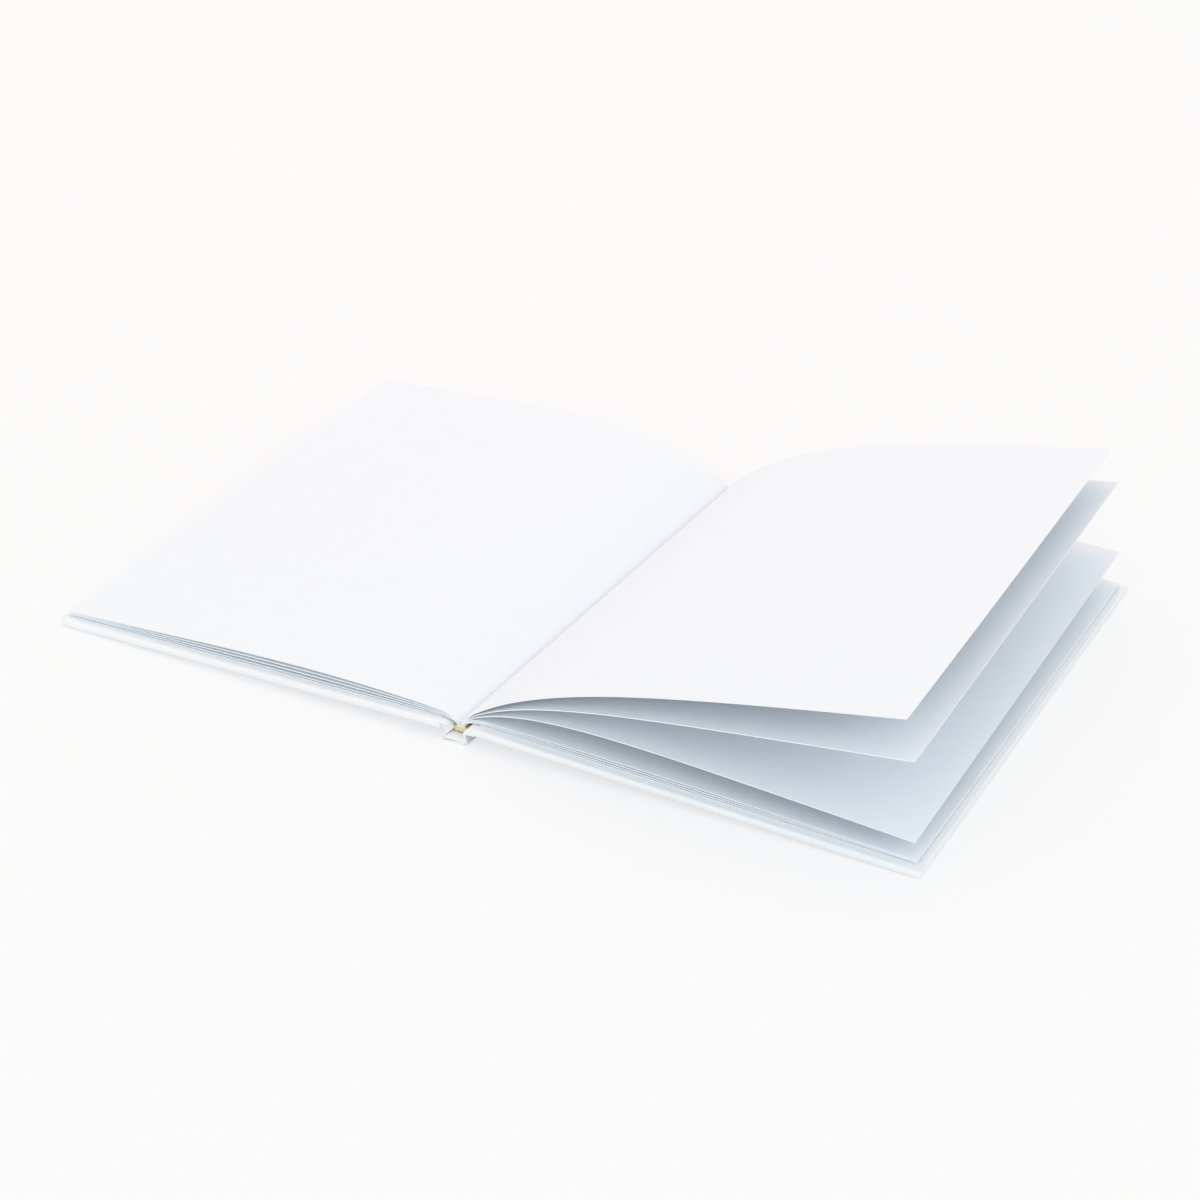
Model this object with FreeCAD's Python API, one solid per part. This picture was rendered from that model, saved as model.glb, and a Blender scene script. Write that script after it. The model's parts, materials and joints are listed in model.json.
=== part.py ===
"""An open book with a hard case and blank pages, lying face up and open near its middle.

X runs across the open book, with the front cover on the -X side. Y runs along the spine, from the tail to
the head. Z is up. The origin is on the table, under the middle of the spine. Lengths are in millimetres and
angles in degrees. A leaf's line is followed from the glued edge, and its slope is the angle above the table.
"""
import FreeCAD, Part
import os
from math import asin, cos, degrees, exp, pi, radians, sin
from FreeCAD import Vector

# Leaves
leaf_width = 151.0        # from the glued edge to the fore-edge, along the leaf
leaf_height = 203.5       # from tail to head
leaf_thickness = 0.25
leaf_spacing = 0.36       # from one leaf to the next where they lie together
front_leaves = 4          # leaves turned over to the front cover
back_lying_leaves = 3     # leaves that lie on the back cover

# Slope of each raised leaf, from the lowest up: at the root, at the fore-edge, and the length of its bend
raised_tail = [(31.0, -3.7, 22.0), (37.0, 7.1, 22.0), (42.0, 10.3, 30.0)]
raised_head = [(36.0, -1.9, 23.0), (41.0, 8.3, 26.0), (48.0, 9.1, 38.0)]

# Front leaves: how far the top one bows up along its middle, and is lifted at the head
front_bow = 2.55
bow_lean = 0.72           # below 1, the bow's top moves toward the spine
bow_ease = 1.3            # above 1, the bow's ends ease in
head_lift = 12.5
head_lift_run = 30.0      # length of the curve in which the lifted leaf rises from the spine
back_bow = 0.9            # bow of the top leaf that lies on the back cover

# Case
square = 3.3              # how far the covers stand past the leaves at head, tail and fore-edge
board_thickness = 2.3
paper_thickness = 0.2
turn_in = 15.0            # width of the cover paper turned in over the boards
edge_round = 0.9          # radius of the covers' outer edges
mitre_gap = 0.15          # open seam where two turned-in strips meet at a corner
step_overlap = 0.5        # how far the pasted sheet bridges the edge of the turned-in paper
front_hinge = (5.4, 3.3)  # a cover's spine edge: from the middle of the spine, and above the table
back_hinge = (6.2, 4.0)

# Spine
strip_width = 8.0         # card strip inside the spine
strip_thickness = 1.4
spine_round = 0.3
fold_thickness = 0.4      # cover paper and endpaper pasted together in a joint
joint_clearance = 0.3
glue_wall = 0.55          # glue beside and below the leaves' glued edges
glue_bottom = 2.3         # height of the glue's underside above the table
root_height = 4.15        # height at which the leaves leave the glue
lobe_rise = 0.35          # height of the scallops between the glue's lobes

# Fit of the leaves against the covers and each other
lie_gap = 0.15            # between the lowest leaf and the pasted sheet
root_bend = 4.0           # length in which the leaves turn out of the glued block
crotch = 1.2              # distance from the block at which neighbouring leaves part
sections = 5              # cross-sections from tail to head

board_height = leaf_height + 2 * square
cover_thickness = board_thickness + 2 * paper_thickness
inner_face = cover_thickness + paper_thickness
fore_edge = leaf_width + square
board_width = fore_edge - back_hinge[0]
spine_half = strip_width / 2 + paper_thickness
spine_top = strip_thickness + 2 * paper_thickness
block_left = front_leaves * leaf_spacing
block_right = (back_lying_leaves + len(raised_tail)) * leaf_spacing


def box(x0, x1, y0, y1, z0, z1):
    """A block given by its lowest and highest corners."""
    return Part.makeBox(x1 - x0, y1 - y0, z1 - z0, Vector(x0, y0, z0))


def outline(points, y=0.0):
    """A closed wire of straight edges through (x, z) points at one place along the spine."""
    corners = [Vector(x, y, z) for x, z in points]
    return Part.makePolygon(corners + corners[:1])


def along_spine(points, length):
    """A prism with the given (x, z) outline, centred on the middle of the spine."""
    return Part.Face(outline(points, -length / 2)).extrude(Vector(0, length, 0))


def rounded(block, radius, chosen):
    """The block with the edges rounded that chosen() picks."""
    return block.makeFillet(radius, [edge for edge in block.Edges if chosen(edge)])


# Covers, in their own frame: X from the spine edge to the fore-edge, Z from the outer face to the inner one

def seat_cover(shape, side, hinge):
    """Lays a cover piece down: its spine edge is raised and its fore-edge touches the table."""
    offset, raised = hinge
    shape.rotate(Vector(0, 0, 0), Vector(0, 1, 0), degrees(asin(raised / board_width)))
    shape.translate(Vector(offset, 0, raised))
    return shape if side > 0 else shape.mirror(Vector(0, 0, 0), Vector(1, 0, 0))


def outer_edge(edge):
    """True for an edge along the head, the tail or the fore-edge of a cover."""
    return edge.BoundBox.ZLength < 0.01 and edge.BoundBox.XMax > board_width / 2


def board_block(inset, radius):
    """The cover's outer form, drawn in by inset on every side and rounded."""
    reach = board_height / 2 - inset
    block = box(inset, board_width - inset, -reach, reach, inset, cover_thickness - inset)
    return rounded(block, radius, outer_edge)


def board():
    """The grey card board inside a cover."""
    return board_block(paper_thickness, edge_round - paper_thickness)


def turn_in_window():
    """The field of the inner face that the turned-in paper leaves open, running out over the spine edge."""
    reach = board_height / 2 - turn_in
    field = box(-1, board_width - turn_in, -reach, reach, cover_thickness - paper_thickness, cover_thickness + 1)
    end = box(-1, paper_thickness, -reach, reach, paper_thickness, cover_thickness)
    return field.fuse(end)


def mitres():
    """Thin cuts along the corner diagonals of the turned-in paper, at head and tail."""
    cuts = []
    reach = 1.5 * turn_in
    for end in (1, -1):
        cut = box(-reach, 0, -mitre_gap / 2, mitre_gap / 2, cover_thickness - paper_thickness, cover_thickness + 1)
        cut.rotate(Vector(0, 0, 0), Vector(0, 0, 1), 45 * end)
        cut.translate(Vector(board_width - paper_thickness, end * (board_height / 2 - paper_thickness), 0))
        cuts.append(cut)
    return cuts


def cover_paper():
    """The paper on a cover: round the board, and turned in over head, tail and fore-edge with mitred corners."""
    wrap = board_block(0.0, edge_round).cut(board()).cut(turn_in_window())
    for cut in mitres():
        wrap = wrap.cut(cut)
    return wrap


def pasted_sheet():
    """The endpaper half pasted to a board: over the turned-in paper, down into the open field, round the end."""
    field_reach = board_height / 2 - turn_in
    field_end = board_width - turn_in
    low = cover_thickness - paper_thickness
    field = box(0, field_end, -field_reach, field_reach, low, cover_thickness)
    end = box(0, paper_thickness, -field_reach, field_reach, paper_thickness, cover_thickness)
    rim = box(0, board_width - square, -leaf_height / 2, leaf_height / 2, cover_thickness, inner_face)
    rim_reach = field_reach - step_overlap
    hole = box(-1, field_end - step_overlap, -rim_reach, rim_reach, cover_thickness, inner_face)
    return rim.cut(hole).fuse(field).fuse(end).removeSplitter()


# Spine and joints

def spine_strip():
    """The card strip inside the spine."""
    reach = board_height / 2 - paper_thickness
    return box(-strip_width / 2, strip_width / 2, -reach, reach, paper_thickness, spine_top - paper_thickness)


def spine_paper():
    """The paper on the spine: under the strip, up its sides, and turned in at head and tail."""
    block = box(-spine_half, spine_half, -board_height / 2, board_height / 2, 0, spine_top)
    block = rounded(block, spine_round, lambda edge: edge.BoundBox.YLength > 1)
    reach = board_height / 2 - turn_in
    side = spine_half - 2 * paper_thickness
    window = box(-side, side, -reach, reach, spine_top - paper_thickness, spine_top + 1)
    return block.cut(spine_strip()).cut(window)


def folded_sheet(points, thickness):
    """The outline of a sheet seen on edge, folded along the given (x, z) points."""
    left, right = [], []
    for i, (x, z) in enumerate(points):
        before = points[max(i - 1, 0)]
        after = points[min(i + 1, len(points) - 1)]
        first = Vector(x - before[0], 0, z - before[1]) if i else Vector(after[0] - x, 0, after[1] - z)
        second = Vector(after[0] - x, 0, after[1] - z) if i < len(points) - 1 else first
        first.normalize()
        second.normalize()
        normal = Vector(-first.z - second.z, 0, first.x + second.x)
        normal.normalize()
        half = thickness / 2 / abs(normal.dot(Vector(-first.z, 0, first.x)))
        left.append((x + normal.x * half, z + normal.z * half))
        right.append((x - normal.x * half, z - normal.z * half))
    return left + right[::-1]


def back_joint():
    """The folded joint of the back cover: up from the spine, in to the glue, and out to the cover's edges."""
    foot = (spine_half - 2 * paper_thickness - fold_thickness / 2, spine_top + fold_thickness / 4)
    offset, raised = back_hinge
    vertex = (block_right + glue_wall + fold_thickness * 0.6, raised - fold_thickness)
    edge = offset - joint_clearance
    outer = (edge, raised)
    inner = (edge, raised + inner_face - fold_thickness)
    joint = along_spine(folded_sheet([foot, vertex, outer], fold_thickness), board_height)
    joint = joint.fuse(along_spine(folded_sheet([vertex, inner], fold_thickness), board_height))
    for end in (1, -1):
        cap = along_spine([vertex, outer, inner], fold_thickness)
        cap.translate(Vector(0, end * (board_height - fold_thickness) / 2, 0))
        joint = joint.fuse(cap)
    under = box(-spine_half, offset, -board_height, board_height, 0, spine_top)
    beyond = box(edge, board_width, -board_height, board_height, 0, 4 * cover_thickness)
    glued = box(0, block_right + glue_wall, -board_height, board_height, 0, 2 * root_height)
    return joint.cut(under).cut(beyond).cut(glued).removeSplitter()


def front_joint():
    """The folded joint of the front cover: up from the spine, past the cover's edge, and in to the glue."""
    foot = (-spine_half + fold_thickness, spine_top + fold_thickness / 4)
    offset, raised = front_hinge
    edge = -offset + joint_clearance + fold_thickness / 2
    outer = (edge, raised + fold_thickness)
    inner = (edge, raised + cover_thickness / 2)
    glue_side = (-block_left - glue_wall + fold_thickness, glue_bottom + 2 * fold_thickness)
    joint = along_spine(folded_sheet([foot, outer, inner, glue_side], fold_thickness), board_height)
    under = box(-offset, spine_half, -board_height, board_height, 0, spine_top)
    glued = box(-block_left - glue_wall, 0, -board_height, board_height, 0, 2 * root_height)
    return joint.cut(under).cut(glued)


def spine_glue():
    """The glue on the leaves' edges: a channel with three rounded lobes along its underside."""
    left = -block_left - glue_wall
    right = block_right + glue_wall
    lobe = (right - left) / 3
    y = -leaf_height / 2
    top = root_height - paper_thickness / 2
    edges = []
    for i in range(3):
        start = Vector(left + i * lobe, y, glue_bottom + lobe_rise)
        middle = Vector(left + (i + 0.5) * lobe, y, glue_bottom)
        end = Vector(left + (i + 1) * lobe, y, glue_bottom + lobe_rise)
        edges.append(Part.Arc(start, middle, end).toShape())
    corners = [edges[-1].lastVertex().Point, Vector(right, y, top), Vector(left, y, top)]
    corners.append(edges[0].firstVertex().Point)
    edges += [Part.LineSegment(a, b).toShape() for a, b in zip(corners, corners[1:])]
    glue = Part.Face(Part.Wire(Part.sortEdges(edges)[0])).extrude(Vector(0, leaf_height, 0))
    floor = glue_bottom + lobe_rise + glue_wall / 2
    return glue.cut(box(-block_left, block_right, y - 1, -y + 1, floor, root_height + 1))


# Leaves: lines in a cross-section, as (x, z, slope) at chosen distances from the block

def stations():
    """Distances along a leaf at which its outline is set, closer together near the spine."""
    count = 7
    return [crotch + (leaf_width - crotch) * (i / count) ** 2 for i in range(count + 1)]


def leaf_line(slope_at, start_x, distances):
    """Follows a leaf whose slope at distance s is slope_at(s), and gives its points at the distances."""
    step = 0.1
    x, z, s = start_x, root_height, 0.0
    points = []
    for target in distances:
        while s < target - step / 2:
            angle = radians(slope_at(s + step / 2))
            x += step * cos(angle)
            z += step * sin(angle)
            s += step
        points.append((x, z, radians(slope_at(target))))
    return points


def cover_slope(hinge):
    return -degrees(asin(hinge[1] / board_width))


def turn_out(s):
    """The share of the root slope that is left at distance s from the block."""
    return exp(-((s / root_bend) ** 2))


def inner_face_height(x, hinge):
    """Height of the pasted sheet's face above the table."""
    offset, raised = hinge
    tilt = asin(raised / board_width)
    return raised * (1 - (x - offset) / (board_width * cos(tilt))) + inner_face / cos(tilt)


def clear_of_cover(line, hinge):
    """True where a leaf's underside passes the cover with lie_gap to spare."""
    over = [(x, z) for x, z, _slope in line if x > hinge[0]]
    return all(z - leaf_thickness / 2 > inner_face_height(x, hinge) + lie_gap for x, z in over)


def root_slope(hinge, start_x):
    """The slope at the block that just brings the lowest leaf over the cover's spine edge."""
    low, high = 0.0, 89.0
    rest = cover_slope(hinge)
    distances = [root_bend * i / 20 for i in range(80)]
    while high - low > 0.01:
        middle = (low + high) / 2
        line = leaf_line(lambda s: rest + (middle - rest) * turn_out(s), start_x, distances)
        if clear_of_cover(line, hinge):
            high = middle
        else:
            low = middle
    return high


def raised_slope(leaf_tail, leaf_head, along, root):
    """The slope of a raised leaf at a share of the way from tail to head."""
    start, end, bend = [a + (b - a) * along for a, b in zip(leaf_tail, leaf_head)]
    return lambda s: end + (start - end) * exp(-s / bend) + (root - start) * turn_out(s)


def offset_point(line_point, distance):
    """A point at a distance square to the leaf's line, on its upper side."""
    x, z, slope = line_point
    return x - distance * sin(slope), z + distance * cos(slope)


def leaf_faces(line, place, lift):
    """The lower and upper points of the leaf at a place in its stack; lift(s) raises it further."""
    sides = []
    for face in (-0.5, 0.5):
        points = []
        for s, point in zip(stations(), line):
            x, z = offset_point(point, place * leaf_spacing + face * leaf_thickness)
            points.append((x, z + lift(s)))
        sides.append(points)
    return sides


def front_side(along):
    """The front leaves from the lowest up, with the lift of their head ends, on the +X side for now."""
    start_x = block_left - leaf_spacing / 2
    root = root_slope(front_hinge, start_x)
    rest = cover_slope(front_hinge)
    line = leaf_line(lambda s: rest + (root - rest) * turn_out(s), start_x, stations())
    lifted = head_lift * along

    def rise(s):
        share = min(1.0, (s - crotch) / (leaf_width - crotch))
        bow = front_bow * sin(pi * share ** bow_lean) ** bow_ease
        return bow + lifted * (1 - exp(-(((s - crotch) / head_lift_run) ** 1.3)))

    top = front_leaves - 1
    return [leaf_faces(line, k, lambda s, k=k: rise(s) * k / top) for k in range(front_leaves)]


def back_side(along):
    """The back leaves from the lowest up: those lying on the cover, then the raised ones."""
    start_x = block_right - leaf_spacing / 2
    root = root_slope(back_hinge, start_x)
    rest = cover_slope(back_hinge)
    line = leaf_line(lambda s: rest + (root - rest) * turn_out(s), start_x, stations())
    top = back_lying_leaves - 1

    def bow(s):
        return back_bow * sin(pi * (s - crotch) / (leaf_width - crotch))

    leaves = [leaf_faces(line, k, lambda s, k=k: bow(s) * k / top) for k in range(back_lying_leaves)]
    for k, (tail, head) in enumerate(zip(raised_tail, raised_head)):
        line = leaf_line(raised_slope(tail, head, along, root), start_x, stations())
        leaves.append(leaf_faces(line, back_lying_leaves + k, lambda s: 0.0))
    return leaves


def curve(points, shares, y):
    """A smooth edge through (x, z) points at given shares of its length."""
    spline = Part.BSplineCurve()
    spline.interpolate(Points=[Vector(x, y, z) for x, z in points], Parameters=shares)
    return spline.toShape()


def line(a, b, y):
    return Part.LineSegment(Vector(a[0], y, a[1]), Vector(b[0], y, b[1])).toShape()


def side_edges(leaves, block_edge, gutter, mirrored, y):
    """The edges of one side's leaves, from the lowest leaf's root up to the gutter."""
    flip = -1 if mirrored else 1
    outward = [0.0] + [distance / leaf_width for distance in stations()[1:]]
    inward = [1 - share for share in reversed(outward)]
    edges = []
    joint = block_edge
    for k, (lower, upper) in enumerate(leaves):
        if k + 1 < len(leaves):
            next_lower = leaves[k + 1][0]
            parting = ((upper[0][0] + next_lower[0][0]) / 2 * flip, (upper[0][1] + next_lower[0][1]) / 2)
        else:
            parting = gutter
        out = [joint] + [(x * flip, z) for x, z in lower[1:]]
        back = [(x * flip, z) for x, z in upper[:0:-1]] + [parting]
        edges += [curve(out, outward, y), line(out[-1], back[0], y), curve(back, inward, y)]
        joint = parting
    return edges


def pages_section(along):
    """The edges round all the leaves at a share of the way from tail to head, in order."""
    y = leaf_height * (along - 0.5)
    floor = glue_bottom + lobe_rise + glue_wall / 2
    front_edge = (-block_left, root_height)
    back_edge = (block_right, root_height)
    gutter = (0.0, root_height + leaf_spacing)
    front = side_edges(front_side(along), front_edge, gutter, True, y)
    back = side_edges(back_side(along), back_edge, gutter, False, y)
    base = [back_edge, (block_right, floor), (-block_left, floor), front_edge]
    return front + back + [line(a, b, y) for a, b in zip(base, base[1:])]


def pages():
    """All the leaves and the block in which they are glued together, as one solid from tail to head."""
    rings = [pages_section(i / (sections - 1)) for i in range(sections)]
    faces = []
    for near, far in zip(rings, rings[1:]):
        faces += [Part.makeRuledSurface(a, b) for a, b in zip(near, far)]
    for ring in (rings[0], rings[-1]):
        faces.append(Part.Face(Part.Wire(Part.sortEdges(ring)[0])))
    shell = Part.Shell(faces)
    shell.sewShape()
    solid = Part.Solid(shell)
    return solid if solid.Volume > 0 else solid.reversed()


def build():
    os.makedirs("parts", exist_ok=True)
    nodes = {
        "pages": pages(),
        "spine_glue": spine_glue(),
        "spine_strip": spine_strip(),
        "spine_paper": spine_paper(),
        "front_joint": front_joint(),
        "back_joint": back_joint(),
    }
    for name, side, hinge in (("front", -1, front_hinge), ("back", 1, back_hinge)):
        nodes[name + "_board"] = seat_cover(board(), side, hinge)
        nodes[name + "_cover_paper"] = seat_cover(cover_paper(), side, hinge)
        nodes[name + "_pastedown"] = seat_cover(pasted_sheet(), side, hinge)
    for name, shape in nodes.items():
        shape.exportStep("parts/" + name + ".step")


build()
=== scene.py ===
"""Looks of an open book with a hard case and blank pages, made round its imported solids, in metres.

X runs across the open book, with the front cover on the -X side. Y runs along the spine, from the tail to
the head. Z is up, from the table. Surfaces are worked out as grids: the first direction of a leaf's grid
follows the leaf from the glue to its fore-edge, and the second runs from tail to head.
"""
import json
import math
import bpy
import numpy as np
from mathutils import Matrix, Vector


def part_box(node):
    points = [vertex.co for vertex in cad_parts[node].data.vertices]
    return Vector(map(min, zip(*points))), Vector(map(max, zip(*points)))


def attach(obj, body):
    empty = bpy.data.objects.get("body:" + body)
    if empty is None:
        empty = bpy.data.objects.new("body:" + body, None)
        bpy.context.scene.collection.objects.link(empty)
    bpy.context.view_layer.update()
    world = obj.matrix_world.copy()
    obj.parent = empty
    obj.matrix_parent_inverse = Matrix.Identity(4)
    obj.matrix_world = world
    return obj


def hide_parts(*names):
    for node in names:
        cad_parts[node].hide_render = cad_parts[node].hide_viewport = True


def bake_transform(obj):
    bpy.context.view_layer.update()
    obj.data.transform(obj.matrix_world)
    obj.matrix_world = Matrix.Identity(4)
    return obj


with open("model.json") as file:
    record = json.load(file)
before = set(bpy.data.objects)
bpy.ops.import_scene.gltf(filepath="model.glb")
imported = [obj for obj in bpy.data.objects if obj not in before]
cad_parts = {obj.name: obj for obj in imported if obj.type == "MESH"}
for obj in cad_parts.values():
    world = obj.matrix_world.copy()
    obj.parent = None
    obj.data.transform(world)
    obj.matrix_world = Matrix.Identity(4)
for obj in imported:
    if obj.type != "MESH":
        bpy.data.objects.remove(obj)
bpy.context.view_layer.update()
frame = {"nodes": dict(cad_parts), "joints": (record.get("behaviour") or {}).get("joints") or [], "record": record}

MM = 0.001

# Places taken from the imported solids
leaf_low, leaf_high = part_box("pages")
cover_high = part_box("back_cover_paper")[1]
hinges = {joint["child"]: Vector(joint["pos_m"]) for joint in frame["joints"]}
tail_y = leaf_low.y
head_y = leaf_high.y
board_half = cover_high.y
front_hinge = hinges["front_cover"]
back_hinge = hinges["back_cover"]
fore_edge = cover_high.x
board_width = fore_edge - back_hinge.x

# Leaves
LEAF_WIDTH = 151.0 * MM
LEAF_THICKNESS = 0.3 * MM
LEAF_SPACING = 0.36 * MM
ROOT_HEIGHT = 4.15 * MM
ROOT_BEND = 4.0 * MM
ROOT_SPACING = 0.26 * MM
ROOT_DEPTH = 0.3 * MM
ROOT_EASE = 4.5 * MM
CROTCH = 1.2 * MM
FRONT_LEAVES = 4
BACK_LYING_LEAVES = 3
BACK_LEAVES = BACK_LYING_LEAVES + 3
BLOCK_LEFT = FRONT_LEAVES * LEAF_SPACING
BLOCK_RIGHT = BACK_LEAVES * LEAF_SPACING
FRONT_ROOT_SLOPE = 43.9
BACK_ROOT_SLOPE = 58.1

# Slope of each raised leaf, from the lowest up: at the root and the fore-edge in degrees, and its bend
RAISED_TAIL = [(31.0, -3.7, 22.0), (37.0, 7.1, 22.0), (42.0, 10.3, 30.0)]
RAISED_HEAD = [(36.0, -1.9, 23.0), (41.0, 8.3, 26.0), (48.0, 9.1, 38.0)]

# Rise of the front leaves, from the lowest up: the bow along the middle, and the lift of the head end
FRONT_BOWS = [0.0, 0.85 * MM, 1.7 * MM, 2.55 * MM]
FRONT_LIFTS = [0.0, 4.0 * MM, 8.2 * MM, 12.5 * MM]
BOW_LEAN = 0.72
BOW_EASE = 1.3
LIFT_RUN = 30.0 * MM
BACK_BOWS = [0.0, 0.45 * MM, 0.9 * MM]

# Case
SQUARE = 3.3 * MM
COVER_THICKNESS = 2.7 * MM
PAPER = 0.2 * MM
TURN_IN = 15.0 * MM
EDGE_ROUND = 0.9 * MM
CORNER_ROUND = 1.0 * MM
SPINE_CORNER = 0.2 * MM
LEAST_ROUND = 0.05 * MM
LAP = 0.12 * MM
LAP_SINK = 0.03 * MM
CARD_GAP = 0.02 * MM
FLAT_START = 1.0 * MM
SEAM_START = 0.9 * MM
SEAM_RUN = 4.4 * MM
PASTED_RISE = 0.18 * MM
PASTED_SINK = 0.16 * MM
PASTED_THICKNESS = 0.26 * MM
PASTED_EASE = 0.9 * MM

# Joints, spine and glue
JOINT_RIM = 0.12 * MM
JOINT_INSET = 0.04 * MM
POCKET_SLANT = 3.0 * MM
SPINE_RIM = 0.45 * MM
SPINE_PAPER = 0.3 * MM
GLUE_LEFT = -1.95 * MM
GLUE_RIGHT = 2.40 * MM
GLUE_LOBES = 3
GLUE_RIM = 0.35 * MM
GLUE_UNEVEN = 0.05 * MM
GLUE_BEAD = 0.22 * MM
GLUE_BEAD_RUN = 1.4 * MM

# Camera, fitted to the photograph: its place in metres, its angles in degrees, and its lens in millimetres
CAMERA_PLACE = (0.3288, -0.6748, 0.3923)
CAMERA_AZIMUTH = 26.175
CAMERA_ELEVATION = 27.409
CAMERA_ROLL = 2.008
CAMERA_LENS = 73.42


# Meshes

def quads(index):
    """Corner numbers of the faces between neighbours in a grid of point numbers."""
    a, b, c, d = index[:-1, :-1], index[1:, :-1], index[1:, 1:], index[:-1, 1:]
    return np.stack([a, b, c, d], -1).reshape(-1, 4)


def make_piece(name, points, faces, material, slot, sharp=35.0):
    """A shaded mesh object at the origin, with edges sharper than the given angle kept crisp."""
    mesh = bpy.data.meshes.new(name)
    rows = faces.tolist() if isinstance(faces, np.ndarray) else [list(face) for face in faces]
    mesh.from_pydata(np.asarray(points).reshape(-1, 3), [], rows)
    mesh.shade_smooth()
    mesh.set_sharp_from_angle(angle=math.radians(sharp))
    mesh.materials.append(material)
    mesh.validate()
    made = bpy.data.objects.new(name, mesh)
    bpy.context.scene.collection.objects.link(made)
    return made


def thin_sheet(upper, lower):
    """Points and faces of a sheet closed from two equal grids: its upper face, its lower face and the rim.

    The first grid direction crossed with the second points up; the rim joins the two borders all round.
    """
    rows, columns = upper.shape[:2]
    points = np.concatenate([upper.reshape(-1, 3), lower.reshape(-1, 3)])
    top = np.arange(rows * columns).reshape(rows, columns)
    bottom = top + rows * columns
    ring = np.concatenate([top[:-1, 0], top[-1, :-1], top[:0:-1, -1], top[0, :0:-1]])
    low_ring = ring + rows * columns
    rim = np.stack([low_ring, np.roll(low_ring, -1), np.roll(ring, -1), ring], -1)
    return points, np.concatenate([quads(top), quads(bottom)[:, ::-1], rim])


def mirrored(points, faces):
    """The same surface on the -X side, with its faces still pointing outwards."""
    return points * np.array([-1.0, 1.0, 1.0]), faces[:, ::-1]


def normals(grid):
    """Unit normals of a grid of points: the cross product of its two directions."""
    along = np.gradient(grid, axis=0)
    across = np.gradient(grid, axis=1)
    normal = np.cross(along, across)
    return normal / np.linalg.norm(normal, axis=-1, keepdims=True)


# Leaves

STEPS_ALONG = 110
STEPS_ACROSS = 48
distance = LEAF_WIDTH * np.linspace(0, 1, STEPS_ALONG + 1)[:, None] ** 1.7
share = np.linspace(0, 1, STEPS_ACROSS + 1)[None, :]
leaf_y = tail_y + (head_y - tail_y) * share


def turn_out(s):
    """The share of the root slope left at distance s: a bell curve falling off over the root bend."""
    return np.exp(-((s / ROOT_BEND) ** 2))


def walk(slope, start_x):
    """The grid reached by walking up the slopes: X and Z are running sums of their cosines and sines."""
    step = np.diff(distance, axis=0)
    middle = np.radians((slope[1:] + slope[:-1]) / 2)
    first = np.zeros((1, slope.shape[1]))
    x = start_x + np.concatenate([first, np.cumsum(np.cos(middle) * step, axis=0)])
    z = ROOT_HEIGHT + np.concatenate([first, np.cumsum(np.sin(middle) * step, axis=0)])
    return np.stack([x, np.broadcast_to(leaf_y, x.shape), z], -1)


def smooth(share):
    """The smooth step: three squares less two cubes, held between nought and one."""
    held = np.clip(share, 0, 1)
    return held * held * (3 - 2 * held)


def leaf_sheet(line, place, rise, root_x):
    """A leaf at a place in its stack, closed round its middle surface at half a thickness to each side.

    The middle surface is the stack's line moved out along its normals. Near the glue it is drawn over to an
    upright line at root_x.
    """
    still = np.zeros_like(rise)
    middle = line + np.stack([still, still, rise], -1) + normals(line) * (place * LEAF_SPACING)
    upright = np.stack([still + root_x, line[..., 1], still + distance + ROOT_HEIGHT - ROOT_DEPTH], -1)
    middle = upright + (middle - upright) * smooth(distance / ROOT_EASE)[..., None]
    half = normals(middle) * (LEAF_THICKNESS / 2)
    return thin_sheet(middle + half, middle - half)


def lying_line(root_slope, raised, start_x):
    """The line of a leaf that turns out of the glue and then follows its cover down to the table."""
    rest = -math.degrees(math.asin(raised / board_width))
    slope = rest + (root_slope - rest) * turn_out(distance)
    return walk(np.broadcast_to(slope, (STEPS_ALONG + 1, STEPS_ACROSS + 1)), start_x)


def lying_rise(bow, lift):
    """A bow that leans to the spine, the sine of a power raised to another, and a lift of the head end.

    The lift grows evenly from tail to head, and eases in from the spine.
    """
    s = np.maximum(distance - CROTCH, 0)
    share_along = np.minimum(s / (LEAF_WIDTH - CROTCH), 1.0)
    arch = np.sin(np.pi * share_along ** BOW_LEAN) ** BOW_EASE
    eased = 1 - np.exp(-((s / LIFT_RUN) ** 1.3))
    return bow * arch + lift * share * eased


def front_leaves(material):
    """Leaves turned over to the front cover, the lowest first."""
    start_x = BLOCK_LEFT - LEAF_SPACING / 2
    line = lying_line(FRONT_ROOT_SLOPE, front_hinge.z, start_x)
    for k in range(FRONT_LEAVES):
        root_x = (FRONT_LEAVES - k - 0.5) * ROOT_SPACING
        sheet = leaf_sheet(line, k, lying_rise(FRONT_BOWS[k], FRONT_LIFTS[k]), root_x)
        leaf = make_piece(f"front_leaf_{k + 1}", *mirrored(*sheet), material, "leaf_paper")
        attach(leaf, "book_block")
        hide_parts("pages")


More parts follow.
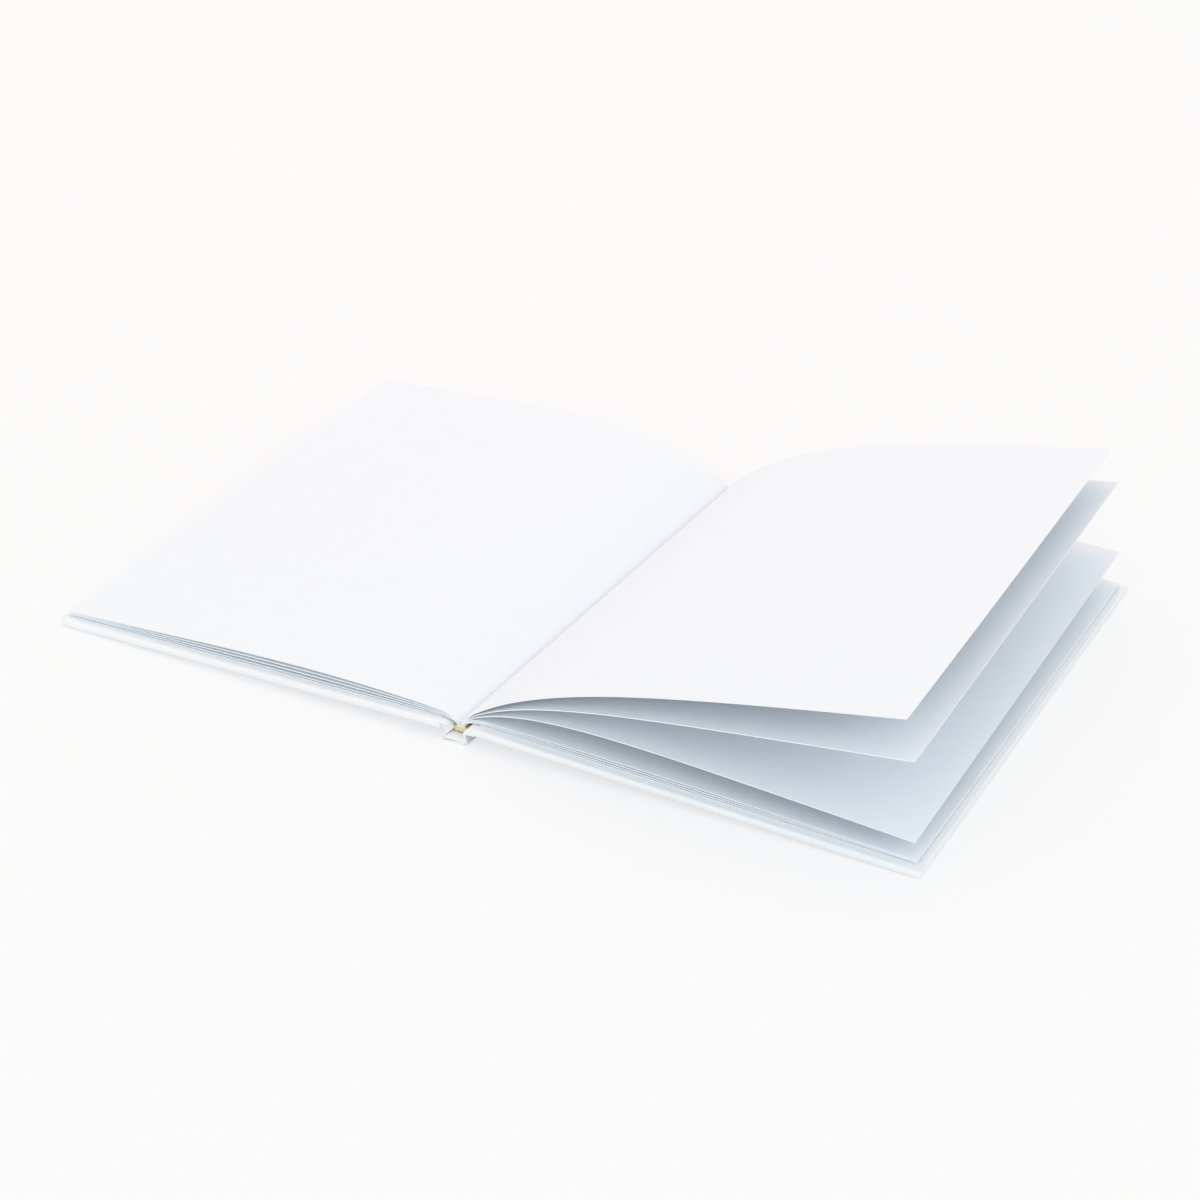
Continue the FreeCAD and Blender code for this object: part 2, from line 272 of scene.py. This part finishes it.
def back_leaves(material):
    """Leaves on the back cover's side: those that lie on it, and the raised ones above."""
    start_x = BLOCK_RIGHT - LEAF_SPACING / 2
    line = lying_line(BACK_ROOT_SLOPE, back_hinge.z, start_x)
    for k in range(BACK_LYING_LEAVES):
        root_x = (BACK_LEAVES - k - 0.5) * ROOT_SPACING
        sheet = leaf_sheet(line, k, lying_rise(BACK_BOWS[k], 0.0), root_x)
        leaf = make_piece(f"back_leaf_{k + 1}", *sheet, material, "leaf_paper")
        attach(leaf, "book_block")
        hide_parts("pages")
    for k, (tail, head) in enumerate(zip(RAISED_TAIL, RAISED_HEAD)):
        root, end, bend = [a + (b - a) * share for a, b in zip(tail, head)]
        slope = end + (root - end) * np.exp(-distance / (bend * MM))
        slope = slope + (BACK_ROOT_SLOPE - root) * turn_out(distance)
        place = BACK_LYING_LEAVES + k
        sheet = leaf_sheet(walk(slope, start_x), place, 0.0 * slope, (BACK_LEAVES - place - 0.5) * ROOT_SPACING)
        leaf = make_piece(f"raised_leaf_{k + 1}", *sheet, material, "leaf_paper")
        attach(leaf, "book_block")
        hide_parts("pages")


# Covers, drawn flat in their own frame: X from the spine edge to the fore-edge, Z from the outer face up

CORNER_STEPS = 6
SIDE_STEPS = 24


def seated(points, side):
    """Points of a cover's frame, leaned from its hinge down to the table, on the -X or the +X side."""
    hinge = back_hinge if side > 0 else front_hinge
    tilt = math.asin(hinge.z / board_width)
    x, y, z = points[..., 0], points[..., 1], points[..., 2]
    out = abs(hinge.x) + x * math.cos(tilt) + z * math.sin(tilt)
    up = hinge.z - x * math.sin(tilt) + z * math.cos(tilt)
    return np.stack([side * out, y, up], -1)


def cover_piece(part, side, points, faces, material, slot, node):
    """A piece drawn in a cover's frame, laid in its place, riding on its cover and standing for its node."""
    prefix = "back_" if side > 0 else "front_"
    turned = [list(face) if side > 0 else list(face)[::-1] for face in faces]
    made = make_piece(prefix + part, seated(points, side), turned, material, slot)
    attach(made, prefix + "cover")
    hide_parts(prefix + node)


def ring(inset, spine_inset, height):
    """Points round the cover's plan, drawn in by the insets: straight sides joined by quarter circles."""
    fore = max(CORNER_ROUND - inset, LEAST_ROUND)
    spine_side = max(SPINE_CORNER - inset, LEAST_ROUND)
    radii = [fore, fore, spine_side, spine_side]
    far, near, half = board_width - LAP - inset - fore, spine_inset + spine_side, board_half - inset
    corners = [(far, fore - half), (far, half - fore), (near, half - spine_side), (near, spine_side - half)]
    centres = np.array(corners)
    loop = []
    for corner, (centre, radius) in enumerate(zip(centres, radii)):
        angle = np.radians(90.0 * (corner - 1) + np.linspace(0, 90, CORNER_STEPS + 1))
        arc = centre + radius * np.column_stack([np.cos(angle), np.sin(angle)])
        outward = np.array([math.cos(angle[-1]), math.sin(angle[-1])])
        start = centres[(corner + 1) % 4] + radii[(corner + 1) % 4] * outward
        steps = np.linspace(0, 1, SIDE_STEPS + 1)[1:-1, None]
        loop += [arc, arc[-1] + (start - arc[-1]) * steps]
    flat = np.concatenate(loop)
    return np.column_stack([flat, np.full(len(flat), height)])


def ring_solid(profile):
    """Points and faces of a solid made of rings, from its lowest to its last, with both ends closed."""
    rings = [ring(*row) for row in profile]
    count = len(rings[0])
    index = np.arange(len(rings) * count).reshape(len(rings), count)
    index = np.concatenate([index, index[:, :1]], 1)
    faces = quads(index)[:, ::-1].tolist()
    faces.append(list(range(count))[::-1])
    faces.append(index[-1, :-1].tolist())
    return np.concatenate(rings), faces


def rounded_edge(inset, low, high, radius):
    """Rows of a profile from low to high: out round the lower edge, up the wall, and in over the upper one."""
    rows = [(inset + radius + FLAT_START, low)]
    for angle in np.radians(np.linspace(0, 90, 7)):
        rows.append((inset + radius * (1 - math.sin(angle)), low + radius * (1 - math.cos(angle))))
    for angle in np.radians(np.linspace(0, 90, 7)):
        rows.append((inset + radius * (1 - math.cos(angle)), high - radius * (1 - math.sin(angle))))
    rows.append((inset + radius + FLAT_START, high))
    return rows


def cover_wrap(side, material):
    """The paper on a cover, one closed shell: round the outside, in over the inner face, and back inside."""
    top = COVER_THICKNESS - LAP
    narrow = EDGE_ROUND + 0.3 * MM
    outer = rounded_edge(0.0, 0.0, top, EDGE_ROUND)
    profile = [(inset, min(inset, SPINE_CORNER), height) for inset, height in outer]
    profile += [(TURN_IN, narrow, top), (TURN_IN, narrow, top - PAPER)]
    inner = rounded_edge(PAPER, PAPER, top - PAPER, EDGE_ROUND - PAPER)[::-1]
    profile += [(inset, min(inset, narrow), height) for inset, height in inner]
    cover_piece("cover_wrap", side, *ring_solid(profile), material, "cover_paper", "cover_paper")


def cover_board(side, material):
    """The grey board inside a cover, a hair smaller than the paper's inside."""
    gap = PAPER + CARD_GAP
    rows = rounded_edge(gap, gap, COVER_THICKNESS - LAP - gap, EDGE_ROUND - PAPER)
    profile = [(inset, min(inset, EDGE_ROUND), height) for inset, height in rows]
    cover_piece("card", side, *ring_solid(profile), material, "board_card", "board")


def fore_edge_turn_in(side, material):
    """The strip turned in over the fore-edge, lapping the strips at tail and head.

    Its section runs up the fore-edge and in over the inner face. Its ends start beside the corner, run along
    the fore-edge on the inner face for a few millimetres, and then inward at 45 degrees.
    """
    centre = board_width - EDGE_ROUND
    section = []
    for angle in np.radians(np.linspace(-50, 0, 6)):
        section.append((centre + EDGE_ROUND * math.cos(angle), EDGE_ROUND + EDGE_ROUND * math.sin(angle)))
    for angle in np.radians(np.linspace(0, 90, 13)):
        height = COVER_THICKNESS - EDGE_ROUND * (1 - math.sin(angle))
        section.append((centre + EDGE_ROUND * math.cos(angle), height))
    insets = [np.linspace(EDGE_ROUND, 2 * MM, 8)[1:], np.linspace(2 * MM, TURN_IN, 10)[1:]]
    for inset in np.concatenate(insets):
        section.append((board_width - inset, COVER_THICKNESS))
    section = np.array(section)
    along = np.gradient(section, axis=0)
    outward = np.column_stack([along[:, 1], -along[:, 0]]) / np.linalg.norm(along, axis=1, keepdims=True)
    inset = board_width - section[:, 0]
    on_top = section[:, 1] > COVER_THICKNESS - EDGE_ROUND
    eased = np.where(on_top, smooth((inset - SEAM_START / 6) / (SEAM_START * 5 / 6)), 0.0)
    end = SEAM_START + SEAM_RUN * eased + np.where(on_top, np.maximum(inset - SEAM_START, 0), 0.0)
    reach = (board_half - end)[:, None] * np.linspace(-1, 1, 61)[None, :]
    depth = np.minimum(np.arange(len(section)) / 5.0, 1.0) * (LAP + LAP_SINK)
    grids = []
    for line in (section, section - outward * depth[:, None]):
        flat = np.ones_like(reach)
        grids.append(np.stack([line[:, :1] * flat, reach, line[:, 1:] * flat], -1))
    points, faces = thin_sheet(*grids)
    cover_piece("fore_edge_turn_in", side, points, faces[:, ::-1], material, "cover_paper", "cover_paper")


def pasted_sheet(side, material):
    """The endpaper half pasted down: it lies over the turned-in strips and sinks a little inside them."""
    end = board_width - SQUARE
    half = head_y
    sink = TURN_IN + 0.5 * MM

    def spaced(low, high, centres):
        even = np.linspace(low, high, 40)
        close = np.concatenate([centre + np.linspace(-1.2, 1.2, 9) * MM for centre in centres])
        return np.unique(np.concatenate([even, close[(close > low) & (close < high)]]))

    x = spaced(EDGE_ROUND, end, [board_width - sink])[:, None]
    y = spaced(-half, half, [sink - board_half, board_half - sink])[None, :]
    inside = np.minimum(board_width - sink - x, board_half - sink - np.abs(y))
    upper = COVER_THICKNESS + PASTED_RISE - PASTED_SINK * smooth(inside / PASTED_EASE + 0.5)
    flat = np.ones_like(upper)
    grids = [np.stack([x * flat, y * flat, height], -1) for height in (upper, upper - PASTED_THICKNESS)]
    cover_piece("pasted_sheet", side, *thin_sheet(*grids), material, "endpaper", "pastedown")


# Joints, spine and glue: outlines in X and Z, counter-clockwise seen from the tail, carried along the spine

def cut_corners(outline, times=2):
    """A closed outline with its corners cut: each side keeps only its points at a quarter and three quarters."""
    for _ in range(times):
        after = np.roll(outline, -1, axis=0)
        outline = np.stack([outline * 0.75 + after * 0.25, outline * 0.25 + after * 0.75], 1).reshape(-1, 2)
    return outline


def outline_normals(outline):
    """Unit normals of a closed counter-clockwise outline, pointing out."""
    along = np.roll(outline, -1, axis=0) - np.roll(outline, 1, axis=0)
    normal = np.column_stack([along[:, 1], -along[:, 0]])
    return normal / np.linalg.norm(normal, axis=1, keepdims=True)


def swept(outline, ends, rounding, steps, growth=None):
    """Points and faces of an outline carried from tail to head, with rounded rims.

    ends(x) gives the distance from the middle of the spine to the end face, and growth(y) moves the outline
    out along its normals.
    """
    normal = outline_normals(outline)
    reach = ends(outline[:, 0])
    turns = np.radians(np.linspace(0, 90, 5))
    rim = [(rounding * (1 - math.sin(a)), rounding * (1 - math.cos(a))) for a in turns]
    stations = [(-1.0, inset, short) for inset, short in rim]
    stations += [(t, 0.0, rounding) for t in np.linspace(-1, 1, steps + 2)[1:-1]]
    stations += [(1.0, inset, short) for inset, short in rim[::-1]]
    loops = []
    for t, inset, short in stations:
        y = t * (reach - short)
        out = -inset if growth is None else growth(y)[:, None] - inset
        moved = outline + normal * out
        loops.append(np.column_stack([moved[:, 0], y, moved[:, 1]]))
    count = len(outline)
    index = np.arange(len(loops) * count).reshape(len(loops), count)
    faces = quads(np.concatenate([index, index[:, :1]], 1)).tolist()
    faces += [index[0].tolist(), index[-1][::-1].tolist()]
    return np.concatenate(loops), faces


def level(reach):
    """An end face square to the spine."""
    return lambda x: np.full_like(x, reach)


def back_joint(material):
    """The back joint: an arm up from the strip to a fold beside the glue, and out into the cover's edge."""
    outline = MM * np.array([
        (3.75, 0.30), (4.50, 0.35), (4.50, 1.00), (4.10, 2.20), (3.55, 3.40), (4.00, 3.98), (6.20, 4.04),
        (7.20, 4.10), (7.20, 6.45), (6.20, 6.53), (4.60, 6.40), (3.25, 4.95), (2.80, 4.00), (2.85, 3.50),
        (3.20, 2.40), (3.65, 1.00),
    ])
    fold = swept(cut_corners(outline), level(board_half - JOINT_INSET), JOINT_RIM, 12)
    made = make_piece("back_joint_fold", *fold, material, "cover_paper", 50.0)
    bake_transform(made)
    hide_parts("back_joint")


def front_joint(material):
    """The front joint: a pocket between strip, cover and glue, whose ends are drawn in beside the glue."""
    outline = MM * np.array([
        (-3.90, 0.55), (-3.80, 1.50), (-3.30, 2.05), (-2.15, 2.95), (-2.20, 4.20), (-4.30, 5.70),
        (-5.40, 5.84), (-6.40, 5.80), (-6.40, 3.40), (-5.40, 3.36), (-4.60, 3.30), (-4.28, 2.90),
        (-4.35, 1.20), (-4.25, 0.35),
    ])

    def ends(x):
        return board_half - JOINT_INSET - POCKET_SLANT * smooth((x + 4.0 * MM) / (1.9 * MM))

    fold = swept(cut_corners(outline), ends, JOINT_RIM, 12)
    made = make_piece("front_joint_fold", *fold, material, "cover_paper", 50.0)
    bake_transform(made)
    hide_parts("front_joint")


def spine(cover_material, card):
    """The wrapped spine strip, a little swollen where the paper is turned in, and the card inside it."""
    outline = MM * np.array([
        (-3.90, 0.00), (3.90, 0.00), (4.15, 0.30), (4.15, 1.35), (3.70, 1.72), (1.50, 1.70), (0.00, 1.85),
        (-2.00, 2.05), (-3.40, 1.75), (-4.10, 1.20), (-4.15, 0.30),
    ])
    outline = cut_corners(outline)
    paper_shape = swept(outline, level(board_half), SPINE_RIM, 24)
    wrap = make_piece("spine_wrap", *paper_shape, cover_material, "cover_paper", 50.0)
    inner = outline - outline_normals(outline) * SPINE_PAPER
    card_shape = swept(inner, level(board_half - 0.5 * MM), 0.2 * MM, 4)
    strip = make_piece("spine_card", *card_shape, card, "board_card")
    for made, node in ((wrap, "spine_paper"), (strip, "spine_strip")):
        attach(made, "book_block")
        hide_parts(node)


def glue(material):
    """Dried glue round the leaves' edges: lobes below, a flat top, and a bead at both ends.

    Two sines of the place along the spine make its surface uneven.
    """
    lobe = (GLUE_RIGHT - GLUE_LEFT) / GLUE_LOBES
    below = []
    for i in range(GLUE_LOBES):
        for angle in np.radians(np.linspace(12, 168, 7)):
            x = GLUE_LEFT + lobe * (i + 0.5 - 0.5 * math.cos(angle))
            below.append((x, (2.90 - 0.45 * math.sin(angle)) * MM))
    above = [(2.45, 3.30), (2.40, 3.85), (1.90, 4.12), (-1.40, 4.12), (-1.90, 3.85), (-2.00, 3.30)]
    outline = cut_corners(np.concatenate([below, MM * np.array(above)]), 1)

    def growth(y):
        bead = smooth((np.abs(y) - head_y + GLUE_BEAD_RUN) / (1.0 * MM))
        uneven = np.sin(y * 570.0) + 0.7 * np.sin(y * 1460.0 + 1.0)
        return GLUE_UNEVEN * uneven + GLUE_BEAD * bead

    shape = swept(outline, level(head_y + 0.1 * MM), GLUE_RIM, 160, growth)
    made = make_piece("glue_lobes", *shape, material, "glue", 60.0)
    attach(made, "book_block")
    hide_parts("spine_glue")


# Materials

class Signal:
    """A node's output in a shader: arithmetic on it adds the Math nodes that work it out."""

    def __init__(self, tree, socket=None):
        self.tree = tree
        self.socket = socket

    def node(self, kind, settings=(), output=0, **inputs):
        """Adds a node of a type, sets its settings and then its sockets, and gives one of its outputs."""
        made = self.tree.nodes.new(kind)
        for key, value in dict(settings).items():
            setattr(made, key, value)
        for key, value in inputs.items():
            socket = made.inputs[int(key[1:])] if key[1:].isdigit() else made.inputs[key.replace("_", " ")]
            if isinstance(value, Signal):
                self.tree.links.new(value.socket, socket)
            else:
                socket.default_value = value
        return Signal(self.tree, made.outputs[output])

    def math(self, operation, first, second=0.0):
        return self.node("ShaderNodeMath", {"operation": operation}, i0=first, i1=second)

    def __add__(self, other):
        return self.math("ADD", self, other)

    def __sub__(self, other):
        return self.math("SUBTRACT", self, other)

    def __rsub__(self, other):
        return self.math("SUBTRACT", other, self)

    def __mul__(self, other):
        return self.math("MULTIPLY", self, other)

    __radd__ = __add__
    __rmul__ = __mul__


def new_material(name):
    """A material with an empty Principled shader, and a signal to build its nodes from."""
    material = bpy.data.materials.new(name)
    material.use_nodes = True
    tree = material.node_tree
    shader = tree.nodes["Principled BSDF"]
    return material, Signal(tree), shader


def noise(start, place, scale, detail=2.0, output="Fac"):
    """A noise at so many features per metre."""
    return start.node("ShaderNodeTexNoise", {}, output, Vector=place, Scale=scale, Detail=detail)


def mix_colour(start, factor, first, second):
    """One colour over another by a factor."""
    settings = {"data_type": "RGBA", "blend_type": "MIX"}
    return start.node("ShaderNodeMix", settings, 2, i0=factor, i6=first, i7=second)


def paper(name, colour, shade, grain, roughness):
    """Uncoated paper: faint clouds of tone, a fine felt of fibres in the bump, and no gloss to speak of."""
    material, start, shader = new_material(name)
    place = start.node("ShaderNodeTexCoord", {}, "Object")
    clouds = noise(start, place, 90.0, 3.0)
    fibres = noise(start, place, 2600.0, 4.0)
    tone = clouds * 0.7 + fibres * 0.3
    mixed = mix_colour(start, tone, (*shade, 1.0), (*colour, 1.0))
    start.tree.links.new(mixed.socket, shader.inputs["Base Color"])
    rough = fibres * 0.12 + (roughness - 0.06)
    start.tree.links.new(rough.socket, shader.inputs["Roughness"])
    height = fibres + noise(start, place, 800.0, 3.0) * 0.6
    bump = start.node("ShaderNodeBump", {}, 0, Strength=grain, Distance=0.05 * MM, Height=height)
    start.tree.links.new(bump.socket, shader.inputs["Normal"])
    shader.inputs["Specular IOR Level"].default_value = 0.25
    return material


def waxy_glue():
    """Dried binding glue: pale yellow, deeper in its hollows, with a dull sheen."""
    material, start, shader = new_material("binding_glue")
    place = start.node("ShaderNodeTexCoord", {}, "Object")
    lumps = noise(start, place, 700.0, 3.0)
    mixed = mix_colour(start, lumps, (0.66, 0.54, 0.20, 1.0), (0.86, 0.79, 0.46, 1.0))
    start.tree.links.new(mixed.socket, shader.inputs["Base Color"])
    bump = start.node("ShaderNodeBump", {}, 0, Strength=0.5, Distance=0.15 * MM, Height=lumps)
    start.tree.links.new(bump.socket, shader.inputs["Normal"])
    rough = lumps * 0.2 + 0.35
    start.tree.links.new(rough.socket, shader.inputs["Roughness"])
    return material


def grey_card():
    """Grey board, seen only on edge."""
    material, start, shader = new_material("grey_card")
    place = start.node("ShaderNodeTexCoord", {}, "Object")
    flecks = noise(start, place, 1500.0, 4.0)
    mixed = mix_colour(start, flecks, (0.30, 0.29, 0.27, 1.0), (0.42, 0.41, 0.38, 1.0))
    start.tree.links.new(mixed.socket, shader.inputs["Base Color"])
    bump = start.node("ShaderNodeBump", {}, 0, Strength=0.4, Distance=0.1 * MM, Height=flecks)
    start.tree.links.new(bump.socket, shader.inputs["Normal"])
    shader.inputs["Roughness"].default_value = 0.95
    return material


def dress_nodes(materials):
    """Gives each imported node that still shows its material."""
    slots = {row["node"]: row["material_slot"] for row in frame["record"]["subparts"]}
    for name, node in frame["nodes"].items():
        node.data.materials.clear()
        node.data.materials.append(materials[slots[name]])


# Floor, light and camera

def floor():
    """A pale table that looks nearly white to the camera and still keeps the book's shadow."""
    material = bpy.data.materials.new("pale_floor")
    material.use_nodes = True
    tree = material.node_tree
    start = Signal(tree)
    seen = start.node("ShaderNodeLightPath", {}, "Is Camera Ray")
    matt = start.node("ShaderNodeBsdfDiffuse", {}, 0, Color=(0.86, 0.87, 0.89, 1.0))
    white = start.node("ShaderNodeEmission", {}, 0, Color=(1.0, 1.0, 1.0, 1.0), Strength=1.0)
    blend = start.node("ShaderNodeMixShader", {}, 0, i0=seen * 0.7, i1=matt, i2=white)
    tree.links.new(blend.socket, tree.nodes["Material Output"].inputs["Surface"])
    half = 4.0
    corners = [(-half, -half, 0), (half, -half, 0), (half, half, 0), (-half, half, 0)]
    mesh = bpy.data.meshes.new("floor")
    mesh.from_pydata(corners, [], [(0, 1, 2, 3)])
    mesh.materials.append(material)
    made = bpy.data.objects.new("floor", mesh)
    bpy.context.scene.collection.objects.link(made)


def lamp(name, place, size, power, colour):
    """A square soft box turned to the book."""
    light = bpy.data.lights.new(name, "AREA")
    light.shape = "SQUARE"
    light.size = size
    light.energy = power
    light.color = colour
    made = bpy.data.objects.new(name, light)
    made.location = place
    made.rotation_mode = "QUATERNION"
    made.rotation_quaternion = (-Vector(place)).to_track_quat("-Z", "Y")
    bpy.context.scene.collection.objects.link(made)


def light_scene():
    """An even sky, a warm lamp above for the paper's cool tone, and two weak ones low at front and side."""
    lamp("key", (-0.35, 0.55, 1.5), 1.2, 4.8, (1.0, 0.47, 0.30))
    lamp("front", (0.15, -1.7, 0.30), 0.9, 4.5, (0.90, 0.95, 1.0))
    lamp("side", (1.5, -0.2, 0.7), 1.2, 2.2, (0.90, 0.95, 1.0))
    world = bpy.data.worlds.new("sky")
    world.use_nodes = True
    tree = world.node_tree
    start = Signal(tree)
    seen = start.node("ShaderNodeLightPath", {}, "Is Camera Ray")
    sky = start.node("ShaderNodeBackground", {}, 0, Color=(0.945, 0.975, 0.970, 1.0), Strength=0.925)
    backdrop = start.node("ShaderNodeBackground", {}, 0, Color=(1.0, 1.0, 1.0, 1.0), Strength=1.0)
    both = start.node("ShaderNodeMixShader", {}, 0, i0=seen, i1=sky, i2=backdrop)
    tree.links.new(both.socket, tree.nodes["World Output"].inputs["Surface"])
    bpy.context.scene.world = world
    bpy.context.scene.view_settings.view_transform = "Standard"


def place_camera():
    """A camera above the back cover's tail corner, turned a little about its own line of sight."""
    angles = (CAMERA_AZIMUTH, CAMERA_ELEVATION, CAMERA_ROLL)
    azimuth, elevation, roll = [math.radians(angle) for angle in angles]
    back = Vector((
        math.sin(azimuth) * math.cos(elevation),
        -math.cos(azimuth) * math.cos(elevation),
        math.sin(elevation),
    ))
    level = Vector((0, 0, 1)).cross(back).normalized()
    upright = back.cross(level)
    right = level * math.cos(roll) + upright * math.sin(roll)
    up = upright * math.cos(roll) - level * math.sin(roll)
    data = bpy.data.cameras.new("camera")
    data.sensor_width = 36.0
    data.lens = CAMERA_LENS
    data.clip_start = 0.01
    made = bpy.data.objects.new("camera", data)
    turn = Matrix((right, up, back)).transposed()
    made.matrix_world = Matrix.Translation(CAMERA_PLACE) @ turn.to_4x4()
    bpy.context.scene.collection.objects.link(made)
    bpy.context.scene.camera = made


materials = {
    "leaf_paper": paper("leaf_paper", (0.886, 0.925, 0.972), (0.868, 0.910, 0.962), 0.25, 0.85),
    "endpaper": paper("endpaper", (0.878, 0.915, 0.962), (0.860, 0.900, 0.950), 0.3, 0.8),
    "cover_paper": paper("cover_paper", (0.900, 0.922, 0.945), (0.875, 0.900, 0.925), 0.35, 0.6),
    "board_card": grey_card(),
    "glue": waxy_glue(),
}
dress_nodes(materials)
front_leaves(materials["leaf_paper"])
back_leaves(materials["leaf_paper"])
for side in (-1, 1):
    cover_wrap(side, materials["cover_paper"])
    cover_board(side, materials["board_card"])
    fore_edge_turn_in(side, materials["cover_paper"])
    pasted_sheet(side, materials["endpaper"])
back_joint(materials["cover_paper"])
front_joint(materials["cover_paper"])
spine(materials["cover_paper"], materials["board_card"])
glue(materials["glue"])
floor()
light_scene()
place_camera()
